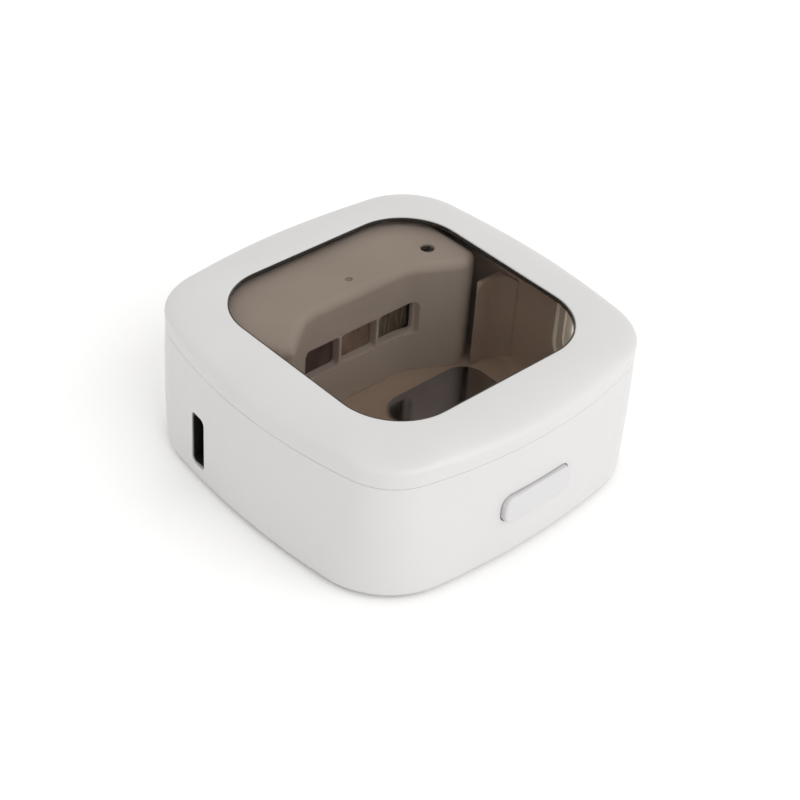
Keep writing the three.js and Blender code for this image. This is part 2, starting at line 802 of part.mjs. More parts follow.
function batteryLead(side) {
  const x = connectorInset - blockHalfWidth + leadOffset + side * leadPitch / 2;
  const start = new THREE.Vector3(
    x, boardFace - seatGap - connectorThickness / 2,
    boardBottom + connectorRise + connectorHeight / 2 + seatGap,
  );
  const end = new THREE.Vector3(
    x + leadShift, batteryFront + batteryThickness / 2, batteryBottom + batteryHeight + seatGap,
  );
  const top = boardTop + leadRise;
  const route = new THREE.CatmullRomCurve3([
    start,
    start.clone().setZ(start.z + leadLanding),
    new THREE.Vector3(x, start.y, boardTop - leadLanding),
    new THREE.Vector3(x + leadShift / 4, boardFace, top - leadRadius),
    new THREE.Vector3(x + leadShift / 2, boardBack + leadRadius, top),
    new THREE.Vector3(x + leadShift, end.y - leadLanding, top),
    end.clone().setZ(end.z + leadLanding),
    end,
  ]);
  const section = new THREE.Shape();
  section.absarc(0, 0, leadRadius, 0, 2 * Math.PI);
  return new THREE.ExtrudeGeometry(section, {
    steps: leadSteps, curveSegments: leadSides, extrudePath: route,
  });
}

// Push button and its switch
function flangeFront() {
  const edge = buttonWidth / 2 + buttonFlange;
  return shellWall + fitGap + edge ** 2 / (2 * seamBulge) - halfCase;
}
function pushButton() {
  const front = flangeFront();
  const cap = frontSlab(
    buttonWidth, buttonHeight, buttonRound, 0, buttonMiddle, -buttonReach, front + seatGap,
  );
  const flange = frontSlab(
    buttonWidth + 2 * buttonFlange, buttonHeight + 2 * buttonFlange, buttonRound + buttonFlange,
    0, buttonMiddle, front, front + buttonFlangeThickness,
  );
  return join(cap, flange);
}
function switchFront() {
  return flangeFront() + buttonFlangeThickness + buttonTravel + fitGap;
}
function switchPlunger() {
  const front = flangeFront() + buttonFlangeThickness + seatGap;
  return rodBack(plungerRadius, 0, buttonMiddle, front, front + plungerLength);
}
function switchBody() {
  const front = switchFront();
  const body = frontSlab(
    switchWidth, switchWidth, windowRound, 0, buttonMiddle, front, front + switchThickness,
  );
  return cut(body, rodBack(
    plungerRadius + fitGap, 0, buttonMiddle, front - overrun, front + switchThickness + overrun,
  ));
}
function switchBoard() {
  const front = switchFront() + switchThickness + seatGap;
  const half = frontPostX - postRadius - switchBoardRoom;
  return block(
    -half, half, front, front + switchBoardThickness,
    buttonMiddle - switchBoardHeight / 2, buttonMiddle + switchBoardHeight / 2,
  );
}

function switchRibbon() {
  const left = ribbonX - ribbonWidth / 2;
  const right = ribbonX + ribbonWidth / 2;
  const front = ribbonFront();
  const back = (boardFace + boardBack + ribbonThickness) / 2;
  const bottom = coverTop - ribbonChannelDepth + seatGap;
  const frontTop = buttonMiddle - switchBoardHeight / 2 - seatGap;
  return join(
    block(left, right, front, back, bottom, bottom + ribbonThickness),
    block(left, right, front, front + ribbonThickness, bottom, frontTop),
    block(left, right, back - ribbonThickness, back, bottom, boardBottom - seatGap),
  );
}

// Lid
function lidFrame() {
  const levels = [[lidBottom, 0]];
  for (let i = 0; i <= filletSteps; i += 1) {
    const angle = (Math.PI / 2) * i / filletSteps;
    levels.push([
      caseHeight - lidRoundDrop * (1 - Math.sin(angle)),
      lidRoundWidth * (1 - Math.cos(angle)),
    ]);
  }
  const rim = caseSolid([[lidBottom - overrun, lidRimWall], [caseHeight - lidCeiling, lidRimWall]]);
  const hollow = common(rim, block(
    -halfCase, halfCase, -lidFrontBand, halfCase, lidBottom - overrun, caseHeight - lidCeiling,
  ));
  const step = caseHeight - lidCeiling + paneFlangeThickness + glueThickness + 2 * seatGap;
  const opening = slab(roundedShape(paneWidth, paneWidth, paneRound), lidCeiling + overrun);
  const pocketWidth = paneWidth + 2 * paneFlange + 2 * paneGap;
  const pocketShape = roundedShape(pocketWidth, pocketWidth, paneRound + paneFlange);
  const pocket = slab(pocketShape, step - lidBottom + overrun);
  const magnetPockets = [-1, 1].map((side) => rodUp(
    magnetRadius + fitGap, side * magnetSpacing / 2, -magnetDepth,
    lidBottom - overrun, lidBottom + magnetThickness + seatGap,
  ));
  const frame = cut(
    caseSolid(levels),
    hollow,
    opening.translate(0, 0, caseHeight - lidCeiling - seatGap),
    pocket.translate(0, 0, lidBottom - overrun),
    ...magnetPockets,
  );
  return lidHinge(frame);
}
function lidHinge(frame) {
  const half = lidKnuckleWidth / 2;
  const arm = block(
    -half, half, halfCase - armThickness, halfCase - seatGap, hingeZ, lidBottom + lidGap,
  );
  const barrel = rodAcross(barrelRadius, hingeY, hingeZ, -half, half);
  const hole = rodAcross(pinHoleRadius, hingeY, hingeZ, -half - overrun, half + overrun);
  return cut(join(frame, arm, barrel), hole);
}
function lidWindow() {
  const width = paneWidth - 2 * paneGap;
  const bottom = caseHeight - lidCeiling;
  const top = slab(roundedShape(width, width, paneRound - paneGap), lidCeiling).translate(0, 0, bottom);
  const wide = paneWidth + 2 * paneFlange - 2 * paneGap;
  const flange = slab(roundedShape(wide, wide, paneRound + paneFlange - paneGap), paneFlangeThickness);
  return join(top, flange.translate(0, 0, bottom));
}
function windowGlue() {
  const wide = paneWidth + 2 * paneFlange - 2 * paneGap;
  const inner = paneWidth + 2 * paneGap;
  const z0 = caseHeight - lidCeiling + paneFlangeThickness + seatGap;
  const ring = slab(roundedShape(wide, wide, paneRound + paneFlange - paneGap), glueThickness);
  const hole = slab(roundedShape(inner, inner, paneRound + paneGap), glueThickness + 2 * overrun);
  return cut(ring, hole.translate(0, 0, -overrun)).translate(0, 0, z0);
}
function magnet(side, z0) {
  return rodUp(magnetRadius, side * magnetSpacing / 2, -magnetDepth, z0, z0 + magnetThickness);
}

// The whole object
const product = new THREE.Group();
product.position.y = (buttonReach - hingeReach) / 2;

function add(group, name, geometry, material) {
  const mesh = new THREE.Mesh(geometry, material);
  mesh.name = name;
  group.add(mesh);
}

const base = new THREE.Group();
add(base, 'base_housing', baseHousing(), whitePlastic);
add(base, 'bottom_cover', bottomCover(), whitePlastic);
eachFoot((place, i) => add(base, `rubber_foot_${i + 1}`, rubberFoot(place), darkRubber));
eachPost((place, i) => add(base, `cover_screw_${i + 1}`, coverScrew(place), steel));
add(base, 'chamber_tub', chamberTub(), innerPlastic);
add(base, 'lamp_block', lampBlock(), innerPlastic);
lampPlaces().forEach((x, i) => add(base, `quartz_lens_${i + 1}`, lens(x), quartz));
lampPlaces().forEach((x, i) => add(base, `uv_lamp_${i + 1}`, lamp(x), ceramic));
add(base, 'deck_screw', deckScrew(), steel);
add(base, 'light_pipe', lightPipe(), quartz);
add(base, 'right_side_panel', sidePanel(1), innerPlastic);
add(base, 'left_side_panel', sidePanel(-1), innerPlastic);
add(base, 'floor_reflector', floorPlate(), brightMetal);
add(base, 'neck_seal', neckSeal(), paleRubber);
add(base, 'main_board', mainBoard(), boardGreen);
add(base, 'socket_shell', socketShell(), steel);
add(base, 'socket_tongue', socketTongue(), chipBlack);
add(base, 'charge_chip', chip(
  chargeChipInset - blockHalfWidth, boardBottom + chargeChipRise, chargeChipSize,
), chipBlack);
add(base, 'controller_chip', chip(
  controllerChipInset - blockHalfWidth, boardTop - controllerChipDrop, controllerChipSize,
), chipBlack);
add(base, 'inductor', inductor(), chipBlack);
add(base, 'lid_sensor', hallSensor(), chipBlack);
add(base, 'battery_cell', batteryCell(), cellWrap);
add(base, 'battery_tape', batteryTape(), foamTape);
add(base, 'battery_plug', batteryPlug(), ceramic);
[leadBlack, leadRed].forEach((color, i) => {
  add(base, `battery_lead_${i + 1}`, batteryLead(i ? 1 : -1), color);
});
add(base, 'switch_board', switchBoard(), boardGreen);
add(base, 'switch_ribbon', switchRibbon(), foamTape);
add(base, 'switch_body', switchBody(), chipBlack);
[-1, 1].forEach((side, i) => add(
  base, `base_magnet_${i + 1}`, magnet(side, flangeTop - magnetThickness), steel,
));
add(base, 'hinge_pin', hingePin(), steel);
product.add(base);

const button = new THREE.Group();
add(button, 'power_button', pushButton(), buttonPlastic);
add(button, 'switch_plunger', switchPlunger(), chipBlack);
product.add(button);

const lid = new THREE.Group();
add(lid, 'lid_frame', lidFrame(), whitePlastic);
add(lid, 'lid_window', lidWindow(), smokedPane);
add(lid, 'window_glue', windowGlue(), foamTape);
[-1, 1].forEach((side, i) => add(lid, `lid_magnet_${i + 1}`, magnet(side, lidBottom), steel));
product.add(lid);

export default product;
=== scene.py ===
from math import atan2, cos, hypot, pi, radians, sin, sqrt, tan

import bmesh
import bpy
from mathutils import Matrix, Vector


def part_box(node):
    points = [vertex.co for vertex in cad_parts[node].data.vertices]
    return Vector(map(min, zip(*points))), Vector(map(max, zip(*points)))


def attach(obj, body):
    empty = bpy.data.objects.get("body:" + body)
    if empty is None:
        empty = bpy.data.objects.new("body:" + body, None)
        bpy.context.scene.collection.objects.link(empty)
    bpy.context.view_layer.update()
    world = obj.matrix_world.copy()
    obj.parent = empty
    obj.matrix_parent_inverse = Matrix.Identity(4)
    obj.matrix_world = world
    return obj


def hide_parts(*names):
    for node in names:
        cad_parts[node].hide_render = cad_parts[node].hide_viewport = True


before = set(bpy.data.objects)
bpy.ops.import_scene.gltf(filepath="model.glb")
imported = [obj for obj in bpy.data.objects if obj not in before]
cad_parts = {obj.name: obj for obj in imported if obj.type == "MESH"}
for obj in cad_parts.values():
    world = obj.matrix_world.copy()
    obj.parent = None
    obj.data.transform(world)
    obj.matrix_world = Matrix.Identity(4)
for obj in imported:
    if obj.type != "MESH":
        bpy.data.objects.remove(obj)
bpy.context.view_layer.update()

# Sizes in millimetres, in the case's own frame: X and Y from the middle of the case, Z from the floor
MM = 0.001
window_low, window_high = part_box("lid_window")
SHIFT_Y = (window_low.y + window_high.y) / 2 / MM

# The case at its heights. A shape is half its width, its corner radius and its sides' radius
FOOT_Z, SEAM_Z, LID_Z, SKIRT_Z, TOP_Z = 0.5, 20.85, 20.9, 22.6, 25.3
FOOT_SHAPE = (29.9, 13.5, 125.0)
SEAM_SHAPE = (30.0, 9.7, 80.0)
TOP_SHAPE = (21.6, 10.4, 500.0)
WALL, RIM_EDGE, FINE_EDGE = 1.8, 0.22, 0.15

# Openings and what sits in them
SOCKET_Y, SOCKET_Z = 11.35, 7.95
SOCKET_LONG, SOCKET_SHORT, SOCKET_ROUND = 9.5, 3.3, 0.9
BUTTON_Z, BUTTON_W, BUTTON_H, BUTTON_R, BUTTON_GAP = 10.25, 13.4, 4.6, 1.6, 0.15
BUTTON_FACE = -30.7
NECK_Y, NECK_W, NECK_Z, NECK_TOP = -12.7, 9.4, 9.0, TOP_Z + 2.0
PANE_W, PANE_R = 42.3, 10.0

# Hinge and magnets
HINGE_Y, HINGE_Z, BARREL_R, BARREL_EDGE, PIN_R, HOLE_R = 29.6, 19.3, 1.5, 0.2, 0.6, 0.85
KNUCKLE_IN, KNUCKLE_OUT, LID_KNUCKLE = 5.3, 9.3, 5.0
MAGNET_X, MAGNET_Y, MAGNET_R, MAGNET_HOLE_R, MAGNET_HIGH = 11.0, -25.0, 1.5, 1.8, 1.0

# Chamber
FLANGE_TOP, FLANGE_LOW, TUB_FLOOR = 20.2, 18.4, 3.7
TUB_FRONT, TUB_REAR = -22.6, 25.2
DECK_Z, HOOD_HALF, HOOD_REAR = 23.7, 22.0, 23.2
LAMP_FACE, LAMP_X, LAMP_W, LAMP_H, LAMP_Z = 9.4, (-7.15, 0.5, 8.15), 7.1, 5.4, 13.9
DECK_SCREW, PIP = (16.3, 11.8), (0.8, 12.75)
HOOD_POINTS = (
    (-10.0, LAMP_FACE, 6.0), (10.0, LAMP_FACE, 6.0), (18.6, 4.8, 3.0), (HOOD_HALF, 6.6, 1.5),
    (HOOD_HALF, HOOD_REAR, 3.0), (-HOOD_HALF, HOOD_REAR, 3.0), (-HOOD_HALF, 9.0, 2.5), (-19.0, 5.4, 1.2),
    (-17.0, 4.2, 1.2),
)

# Underside
SCREW_PLACES = ((-15.0, -24.2), (15.0, -24.2), (-17.5, 18.6), (17.5, 18.6))
FOOT_PLACES = ((-20, -12), (-20, 12), (20, -12), (20, 12))

# Fineness of the shapes, least sizes, and how far a cutting tool reaches
SIDE_STEPS, CORNER_STEPS, ARC_STEPS, NECK_STEPS, TURN_STEPS = 28, 26, 8, 20, 48
EDGE_STEPS, BLOCK_STEPS, ROD_STEPS = 5, 3, 4
MERGE_WITHIN, DISSOLVE_WITHIN, PARALLEL = 1e-5, 1e-6, 1e-6
LEAST_CORNER, LEAST_FILLET, LEAST_TURN = 0.01, 0.02, 0.004
SHARP_ANGLE = 32
PAST_FACE, PAST_FLANGE, PAST_TOP, PAST_LID, PAST_WALL, PAST_ALL = 1, 23, 26, 30, 33, 40


# Outlines
def mix(a, b, share):
    return a + (b - a) * share


def case_shape(z, inset=0.0):
    share = min(max((z - FOOT_Z) / (SEAM_Z - FOOT_Z), 0), 1)
    return [mix(a, b, share) - inset for a, b in zip(FOOT_SHAPE, SEAM_SHAPE)]


def corner_of(half, corner, bulge):
    """How far past the middle a side's arc is centred, the corner's middle and the angle where they meet"""
    reach = bulge - half
    middle = (sqrt(2 * (bulge - corner) ** 2 - reach**2) - reach) / 2
    return reach, middle, atan2(middle, middle + reach)


def square_ring(z, half, corner, bulge):
    """A square ring with bulging sides and round corners"""
    reach, middle, turn = corner_of(half, corner, bulge)
    quarter = []
    for i in range(SIDE_STEPS):
        a = turn * (2 * i / SIDE_STEPS - 1)
        quarter.append((bulge * cos(a) - reach, bulge * sin(a)))
    for i in range(CORNER_STEPS):
        a = turn + (pi / 2 - 2 * turn) * i / CORNER_STEPS
        quarter.append((middle + corner * cos(a), middle + corner * sin(a)))
    ring = []
    for c, s in ((1, 0), (0, 1), (-1, 0), (0, -1)):
        ring += [(x * c - y * s, x * s + y * c, z) for x, y in quarter]
    return ring


def case_ring(z, inset=0.0):
    return square_ring(z, *case_shape(z, inset))


def wall_at(u, z, inset=0.0):
    """How far out the case's wall is, at a distance u along that side and at a height"""
    half, corner, bulge = case_shape(z, inset)
    reach, middle, turn = corner_of(half, corner, bulge)
    if abs(u) <= bulge * sin(turn):
        return sqrt(bulge**2 - u**2) - reach
    return middle + sqrt(max(corner**2 - (abs(u) - middle) ** 2, 0))


def rounded(width, height, radius, inset=0.0, cx=0.0, cy=0.0, steps=ARC_STEPS):
    """A rectangle with round corners, drawn in by an inset"""
    w, h = width / 2 - inset, height / 2 - inset
    r = min(max(radius - inset, LEAST_CORNER), w, h)
    ring = []
    for mx, my, start in ((w - r, r - h, -90), (w - r, h - r, 0), (r - w, h - r, 90), (r - w, r - h, 180)):
        for i in range(steps + 1):
            a = radians(start + 90 * i / steps)
            ring.append((cx + mx + r * cos(a), cy + my + r * sin(a)))
    return ring


def round_hole(width, place, inset, steps):
    return rounded(width, width, width / 2, inset, *place, steps)


def filleted(points, inset=0.0):
    """A polygon, counter-clockwise, of (x, y, radius), drawn in by an inset and with its corners rounded"""
    sides = []
    for i, (x0, y0, _) in enumerate(points):
        x1, y1, _ = points[(i + 1) % len(points)]
        size = hypot(x1 - x0, y1 - y0)
        dx, dy = (x1 - x0) / size, (y1 - y0) / size
        sides.append((x0 - dy * inset, y0 + dx * inset, dx, dy))
    ring = []
    for i, (_, _, radius) in enumerate(points):
        ax, ay, adx, ady = sides[i - 1]
        bx, by, bdx, bdy = sides[i]
        cross = adx * bdy - ady * bdx
        if abs(cross) < PARALLEL:
            ring.append((bx, by))
            continue
        t = ((bx - ax) * bdy - (by - ay) * bdx) / cross
        px, py = ax + adx * t, ay + ady * t
        if radius == 0:
            ring.append((px, py))
            continue
        radius = max(radius - inset if cross > 0 else radius + inset, LEAST_FILLET)
        bend = atan2(cross, adx * bdx + ady * bdy)
        back = radius * abs(tan(bend / 2))
        hand = 1 if cross > 0 else -1
        mx = px - adx * back - ady * radius * hand
        my = py - ady * back + adx * radius * hand
        start = atan2(py - ady * back - my, px - adx * back - mx)
        for k in range(ARC_STEPS + 1):
            a = start + bend * k / ARC_STEPS
            ring.append((mx + radius * cos(a), my + radius * sin(a)))
    return ring


def up(ring, z):
    return [(x, y, z) for x, y in ring]


def front(ring, y):
    return [(x, y, z) for x, z in ring]


def side(ring, x):
    return [(x, y, z) for y, z in ring]


def split(ring, parts):
    """The ring with its sides cut into equal parts"""
    points = []
    for i, (u, v) in enumerate(ring):
        next_u, next_v = ring[(i + 1) % len(ring)]
        points += [(mix(u, next_u, k / parts[i]), mix(v, next_v, k / parts[i])) for k in range(parts[i])]
    return points


# Levels along a solid, as (place, inset)
def quarter_turn(radius, steps):
    return [pi / 2 * i / steps for i in range(steps + 1)] if radius else [0]


def first_rim(start, radius, steps):
    """Levels that round the rim where a solid starts"""
    return [(start + radius * (1 - cos(a)), radius * (1 - sin(a))) for a in quarter_turn(radius, steps)]


def last_rim(end, radius, steps):
    """Levels that round the rim where a solid ends"""
    return [(end - radius * (1 - sin(a)), radius * (1 - cos(a))) for a in quarter_turn(radius, steps)]


def soft_levels(start, end, round_start, round_end, steps=EDGE_STEPS):
    return first_rim(start, round_start, steps) + last_rim(end, round_end, steps)


# Meshes
def mesh_of(points, faces):
    mesh = bpy.data.meshes.new("tool")
    mesh.from_pydata(points, [], faces)
    bm = bmesh.new()
    bm.from_mesh(mesh)
    bmesh.ops.remove_doubles(bm, verts=bm.verts, dist=MERGE_WITHIN)
    bmesh.ops.dissolve_degenerate(bm, edges=bm.edges, dist=DISSOLVE_WITHIN)
    bmesh.ops.triangulate(bm, faces=bm.faces)
    bmesh.ops.recalc_face_normals(bm, faces=bm.faces)
    bm.to_mesh(mesh)
    bm.free()
    piece = bpy.data.objects.new("tool", mesh)
    bpy.context.scene.collection.objects.link(piece)
    return piece


def loft(rings, looped=False):
    """A closed solid through rings of equal count. Looped rings close on themselves, others get end faces"""
    count = len(rings[0])
    points = [p for ring in rings for p in ring]
    faces = []
    spans = len(rings) if looped else len(rings) - 1
    for level in range(spans):
        a, b = level * count, ((level + 1) % len(rings)) * count
        for i in range(count):
            j = (i + 1) % count
            faces.append((a + i, a + j, b + j, b + i))
    if not looped:
        faces.append(tuple(reversed(range(count))))
        last = (len(rings) - 1) * count
        faces.append(tuple(range(last, last + count)))
    return mesh_of(points, faces)


def slab(outline, place, start, end, round_start=0.0, round_end=0.0, steps=EDGE_STEPS):
    """A slab through outline(inset), with its two rims rounded"""
    levels = soft_levels(start, end, round_start, round_end, steps)
    return loft([place(outline(inset), at) for at, inset in levels])


def block(x0, x1, y0, y1, z0, z1, edge=0.0):
    steps = BLOCK_STEPS if edge else 1

    def outline(inset):
        return rounded(x1 - x0, y1 - y0, edge, inset, (x0 + x1) / 2, (y0 + y1) / 2, steps)

    return slab(outline, up, z0, z1, edge, edge, steps)


def lathe(profile, axis, centre, steps=TURN_STEPS):
    """A turned solid from (radius, place along the axis) pairs"""
    place = {"X": side, "Y": front, "Z": up}[axis]
    turns = [2 * pi * i / steps for i in range(steps)]
    rings = []
    for radius, at in profile:
        r = max(radius, LEAST_TURN)
        rings.append(place([(centre[0] + r * cos(a), centre[1] + r * sin(a)) for a in turns], at))
    return loft(rings)


def rod(radius, axis, centre, start, end, edge=0.0, steps=TURN_STEPS):
    profile = [(radius - inset, at) for at, inset in soft_levels(start, end, edge, edge, ROD_STEPS)]
    return lathe(profile, axis, centre, steps)


def applied(piece):
    bpy.context.view_layer.update()
    fresh = bpy.data.meshes.new_from_object(piece.evaluated_get(bpy.context.evaluated_depsgraph_get()))
    piece.modifiers.clear()
    old = piece.data
    piece.data = fresh
    bpy.data.meshes.remove(old)


def combined(piece, operation, tools):
    for tool in tools:
        step = piece.modifiers.new("step", "BOOLEAN")
        step.operation = operation
        step.solver = "MANIFOLD"
        step.object = tool
        applied(piece)
        mesh = tool.data
        bpy.data.objects.remove(tool)
        bpy.data.meshes.remove(mesh)


def cut(piece, *tools):
    combined(piece, "DIFFERENCE", tools)


def join(piece, *tools):
    combined(piece, "UNION", tools)


def common(piece, *tools):
    combined(piece, "INTERSECT", tools)


# Openings
def mouth(outline, surface, depth, edge=RIM_EDGE):
    """A tool that opens a wall along an outline, with a round rim. surface(u, v, depth) is under the face"""
    last, lift, clear_off = radians(80), 0.06, 1.5
    base = outline(0)
    after = base[1:] + base[:1]
    parts = [max(1, round(hypot(u - p, v - q))) for (u, v), (p, q) in zip(base, after)]

    def ring(inset, at):
        return [surface(u, v, at) for u, v in split(outline(inset), parts)]

    rings = [ring(0, depth)]
    for i in range(EDGE_STEPS + 1):
        a = last * i / EDGE_STEPS
        rings.append(ring(-edge * (1 - cos(a)), edge * (1 - sin(a))))
    spread = edge * (1 - cos(last)) + (edge * (1 - sin(last)) + lift) * tan(last)
    rings += [ring(-spread, -lift), ring(-spread, -clear_off)]
    return loft(rings)


def front_wall(u, v, depth):
    return (u, -(wall_at(u, v) - depth), v)


def left_wall(u, v, depth):
    return (-(wall_at(u, v) - depth), u, v)


def right_wall(u, v, depth):
    return (wall_at(u, v) - depth, u, v)


def lamp_wall(u, v, depth):
    return (u, LAMP_FACE + depth, v)


def deck(u, v, depth):
    return (u, v, DECK_Z - depth)


def lid_top(u, v, depth):
    return (u, v, TOP_Z - depth)


def neck_outline(inset):
    """The slot for the brush's neck, open at the top, in (y, z)"""
    radius, middle = NECK_W / 2 - inset, NECK_Z + NECK_W / 2
    ring = [(NECK_Y + radius, NECK_TOP), (NECK_Y - radius, NECK_TOP)]
    for i in range(NECK_STEPS + 1):
        a = pi + pi * i / NECK_STEPS
        ring.append((NECK_Y + radius * cos(a), middle + radius * sin(a)))
    return ring


def neck_bar(inset, start=15, end=32):
    """A bar through the right wall, with the neck slot's outline"""
    return loft([side(neck_outline(inset), x) for x in (start, end)])


def socket_room():
    """The room that the tub and the hood leave for the charging socket"""
    return block(-32, -20.2, 9.6, 14.7, 0, 13.0)


# Materials
def node_material(name):
    material = bpy.data.materials.new(name)
    material.use_nodes = True
    tree = material.node_tree
    return material, tree, tree.nodes["Principled BSDF"]


def noise(tree, size, detail, stretch=(1, 1, 1)):
    """A noise of a size in millimetres, in the object's own coordinates"""
    where = tree.nodes.new("ShaderNodeTexCoord")
    scale = tree.nodes.new("ShaderNodeMapping")
    scale.inputs["Scale"].default_value = [1 / (size * MM * s) for s in stretch]
    grain = tree.nodes.new("ShaderNodeTexNoise")
    grain.inputs["Scale"].default_value = 1
    grain.inputs["Detail"].default_value = detail
    tree.links.new(where.outputs["Object"], scale.inputs["Vector"])
    tree.links.new(scale.outputs["Vector"], grain.inputs["Vector"])
    return grain.outputs["Fac"]


def blend_colour(tree, factor, first, second):
    node = tree.nodes.new("ShaderNodeMix")
    node.data_type = "RGBA"
    for name, value in (("A", first), ("B", second)):
        socket = next(s for s in node.inputs if s.name == name and s.type == "RGBA")
        socket.default_value = (*value, 1)
    tree.links.new(factor, node.inputs["Factor"])
    return next(s for s in node.outputs if s.type == "RGBA")


def ranged(tree, value, low_value, high_value, start=0.3, end=0.7):
    node = tree.nodes.new("ShaderNodeMapRange")
    node.inputs["From Min"].default_value = start
    node.inputs["From Max"].default_value = end
    node.inputs["To Min"].default_value = low_value
    node.inputs["To Max"].default_value = high_value
    tree.links.new(value, node.inputs["Value"])
    return node.outputs["Result"]


def clouded(tree, factor, colour, spread):
    """The colour, from a little darker to a little lighter"""
    darker = [c * (1 - spread) for c in colour]
    lighter = [min(c * (1 + spread), 1) for c in colour]
    return blend_colour(tree, ranged(tree, factor, 0, 1), darker, lighter)


def bumped(tree, shader, height, depth):
    node = tree.nodes.new("ShaderNodeBump")
    node.inputs["Strength"].default_value = 1
    node.inputs["Distance"].default_value = depth * MM
    tree.links.new(height, node.inputs["Height"])
    tree.links.new(node.outputs["Normal"], shader.inputs["Normal"])


def mixed(tree, first, second):
    """Sends a mixture of two shaders to the surface, and gives the input for the second one's share"""
    both = tree.nodes.new("ShaderNodeMixShader")
    tree.links.new(first, both.inputs[1])
    tree.links.new(second, both.inputs[2])
    out = next(n for n in tree.nodes if n.type == "OUTPUT_MATERIAL")
    tree.links.new(both.outputs[0], out.inputs["Surface"])
    return both.inputs[0]


def grained(name, colour, spread, cloud, grain, depth, rough, metal=0.0, stretch=(1, 1, 1), through=0.0):
    """A moulded, rolled or turned finish: clouded colour, fine grain in the relief and an uneven gloss"""
    cloud_detail, fine_detail, gloss_per_grain = 3, 2, 6
    material, tree, shader = node_material(name)
    colours = clouded(tree, noise(tree, cloud, cloud_detail, stretch), colour, spread)
    tree.links.new(colours, shader.inputs["Base Color"])
    gloss = ranged(tree, noise(tree, grain * gloss_per_grain, fine_detail, stretch), *rough)
    tree.links.new(gloss, shader.inputs["Roughness"])
    bumped(tree, shader, noise(tree, grain, fine_detail, stretch), depth)
    shader.inputs["Metallic"].default_value = metal
    if through:
        behind = tree.nodes.new("ShaderNodeBsdfTranslucent")
        tree.links.new(colours, behind.inputs["Color"])
        mixed(tree, shader.outputs[0], behind.outputs[0]).default_value = through
    return material


def clear(name, tint, rough, base_gloss, rise):
    """A clear sheet: tinted see-through, with a mirror part that grows at grazing angles"""
    cloud, cloud_detail, spread, gloss_size, gloss_detail = 14, 2, 0.015, 3, 3
    material, tree, shader = node_material(name)
    tree.nodes.remove(shader)
    through = tree.nodes.new("ShaderNodeBsdfTransparent")
    tree.links.new(clouded(tree, noise(tree, cloud, cloud_detail), tint, spread), through.inputs["Color"])
    gloss = tree.nodes.new("ShaderNodeBsdfGlossy")
    gloss.inputs["Color"].default_value = (1, 1, 1, 1)
    uneven = ranged(tree, noise(tree, gloss_size, gloss_detail), *rough)
    tree.links.new(uneven, gloss.inputs["Roughness"])
    facing = tree.nodes.new("ShaderNodeLayerWeight")
    facing.inputs["Blend"].default_value = 0.5
    power = tree.nodes.new("ShaderNodeMath")
    power.operation = "POWER"
    power.inputs[1].default_value = rise
    tree.links.new(facing.outputs["Facing"], power.inputs[0])
    share = ranged(tree, power.outputs[0], base_gloss, 1, 0, 1)
    tree.links.new(share, mixed(tree, through.outputs[0], gloss.outputs[0]))
    return material


# Name, colour, spread of the colour, size of its clouds, size and depth of the grain, range of roughness
white = grained("white_plastic", (0.582, 0.575, 0.568), 0.012, 12, 0.35, 0.0035, (0.32, 0.42))
button_white = grained("button_plastic", (0.555, 0.548, 0.557), 0.01, 8, 0.3, 0.002, (0.29, 0.35))
pale = grained("inner_plastic", (0.605, 0.59, 0.58), 0.02, 8, 0.4, 0.006, (0.45, 0.58))
# The tub and side panels are pale plastic painted darker and browner: painted shade of the chamber under the
# lid
tub_painted_shade = grained("tub_plastic_painted_shade", (0.56, 0.48, 0.415), 0.03, 8, 0.4, 0.006, (0.42, 0.55))
smoked = clear("smoked_window", (0.784, 0.750, 0.720), (0.015, 0.04), base_gloss=0.0005, rise=7)
# The left lamp's lens is painted dark purple: painted shade in its opening
lens_painted_shade = grained(
    "quartz_painted_shade", (0.13, 0.088, 0.088), 0.4, 2.5, 0.2, 0.003, (0.28, 0.36), stretch=(1, 1, 2)
)
lens_frosted = grained(
    "frosted_quartz", (0.29, 0.22, 0.19), 0.3, 1.6, 0.2, 0.006, (0.35, 0.5), stretch=(0.6, 1, 2)
)
# The right lamp's lens is painted green with upright streaks: a painted view of the green board seen through
# it
lens_painted_board = grained(
    "quartz_painted_board_view", (0.14, 0.13, 0.095), 0.85, 0.9, 0.2, 0.004, (0.28, 0.4), stretch=(0.5, 1, 4)
)
milky = grained("milky_quartz", (0.40, 0.36, 0.34), 0.05, 0.8, 0.2, 0.003, (0.3, 0.4))
steel = grained("steel", (0.50, 0.50, 0.51), 0.06, 2, 0.12, 0.003, (0.28, 0.38), metal=1)
# Steel painted near black: painted shade inside the charging socket
socket_steel_painted_shade = grained("socket_steel_painted_shade", (0.025, 0.024, 0.023), 0.1, 1, 0.1, 0.003, (0.35, 0.5), metal=0.6)
foil = grained("bright_metal", (0.47, 0.48, 0.53), 0.05, 6, 0.5, 0.002, (0.10, 0.16), metal=1)
rubber = grained("dark_rubber", (0.028, 0.028, 0.028), 0.15, 1.5, 0.15, 0.012, (0.7, 0.85))
silicone = grained("pale_rubber", (0.86, 0.84, 0.80), 0.03, 4, 0.2, 0.008, (0.55, 0.7), through=0.92)
mask_green = grained("board_green", (0.030, 0.075, 0.045), 0.2, 1.2, 0.2, 0.006, (0.3, 0.5))
moulding = grained("chip_black", (0.014, 0.014, 0.015), 0.2, 0.8, 0.1, 0.006, (0.4, 0.6))
ceramic = grained("ceramic", (0.62, 0.55, 0.44), 0.05, 1, 0.1, 0.004, (0.35, 0.5))
pouch = grained("cell_wrap", (0.42, 0.44, 0.47), 0.06, 5, 0.6, 0.02, (0.3, 0.45), metal=0.8)
tape = grained("foam_tape", (0.05, 0.05, 0.05), 0.2, 0.8, 0.2, 0.03, (0.8, 0.95))
